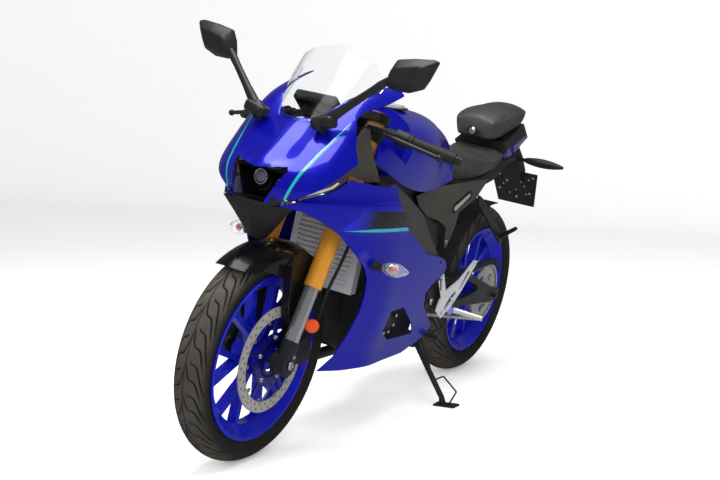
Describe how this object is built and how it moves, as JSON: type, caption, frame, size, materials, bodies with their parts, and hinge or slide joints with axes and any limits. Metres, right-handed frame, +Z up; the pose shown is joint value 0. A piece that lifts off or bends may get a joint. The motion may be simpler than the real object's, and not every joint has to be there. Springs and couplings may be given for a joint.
{
  "type": "sport bike",
  "caption": "Fully faired small sport bike leaning on its side stand: steering, two turning wheels, a folding stand and a hinged filler cap.",
  "frame": {"origin": "on the floor under the middle of the parked bike's bounding box", "axes": "+Y from the front wheel to the rear wheel, +X to the rider's left, +Z up; the bike leans to +X on its side stand"},
  "size_m": [0.7736, 2.0095, 1.1885],
  "materials": {
    "tyre": "matt",
    "wheel_paint": "gloss",
    "disc_steel": "brushed",
    "chain_steel": "oiled",
    "black_metal": "satin",
    "gold": "anodised",
    "chrome": "polished",
    "black_gloss": "gloss",
    "black_plastic": "grained",
    "rubber": "matt",
    "engine_black": "cast",
    "radiator_alloy": "matt",
    "spring_red": "gloss",
    "blue_paint": "gloss",
    "satin_grey": "satin",
    "lamp_glass": "clear",
    "clear_screen": "clear",
    "alloy": "satin",
    "seat_cover": "matt",
    "red_lens": "gloss"
  },
  "bodies": {
    "chassis": {"frame": "black_metal", "subframe": "black_metal", "engine": "engine_black", "radiator": "radiator_alloy", "swingarm": "black_metal", "shock": "spring_red", "chain": "chain_steel", "chain_guard": "black_plastic", "hugger": "black_plastic", "exhaust": "black_metal", "nose_cowl": "blue_paint", "side_fairings": "blue_paint", "inner_fins": "satin_grey", "inner_panels": "black_plastic", "intake_duct": "black_gloss", "headlight": "lamp_glass", "chin": "black_plastic", "drl_lamps": "lamp_glass", "windscreen": "clear_screen", "dash": "black_plastic", "cowl_stay": "black_metal", "mirrors": "black_plastic", "tank": "blue_paint", "filler_ring": "black_metal", "rider_seat": "seat_cover", "pillion_seat": "seat_cover", "tail_cowl": "blue_paint", "tail_light": "red_lens", "plate_hanger": "black_plastic", "front_signals": "lamp_glass", "rear_signals": "black_plastic", "side_covers": "satin_grey", "footrests": "alloy", "pedals": "black_metal", "passenger_footrests": "black_metal", "stand_bracket": "black_metal"},
    "front_wheel": {"front_tyre": "tyre", "front_rim": "wheel_paint", "front_disc": "disc_steel"},
    "rear_wheel": {"rear_tyre": "tyre", "rear_rim": "wheel_paint", "rear_disc": "disc_steel", "rear_sprocket": "disc_steel"},
    "steering": {"yokes": "black_metal", "fork_outer_tubes": "gold", "fork_inner_tubes": "chrome", "fork_bottoms": "black_metal", "front_fender": "black_gloss", "front_caliper": "black_metal", "handlebars": "black_metal", "grips": "rubber", "controls": "black_plastic", "levers": "black_metal", "brake_hose": "rubber"},
    "side_stand": {"side_stand": "black_metal"},
    "fuel_cap": {"fuel_cap": "alloy"}
  },
  "joints": [
    {"name": "steering_turn", "type": "hinge", "parent": "chassis", "child": "steering", "pos_m": [-0.04013, -0.4237, 0.78798], "axis": [0.1642, 0.4226, 0.8913], "range_deg": [-30, 30]},
    {"name": "front_wheel_spin", "type": "hinge", "parent": "steering", "child": "front_wheel", "pos_m": [-0.13146, -0.70875, 0.29233], "axis": [0.9834, 0, -0.1812], "continuous": true},
    {"name": "rear_wheel_spin", "type": "hinge", "parent": "chassis", "child": "rear_wheel", "pos_m": [-0.1282, 0.61625, 0.31003], "axis": [0.9834, 0, -0.1812], "continuous": true},
    {"name": "side_stand_fold", "type": "hinge", "parent": "chassis", "child": "side_stand", "pos_m": [-0.05978, 0.10375, 0.19574], "axis": [0.8449, -0.1738, 0.5059], "range_deg": [0, 93.02]},
    {"name": "fuel_cap_lid", "type": "hinge", "parent": "chassis", "child": "fuel_cap", "pos_m": [-0.00769, -0.25725, 0.96402], "axis": [0.9834, 0, -0.1812], "range_deg": [0, 95]}
  ]
}
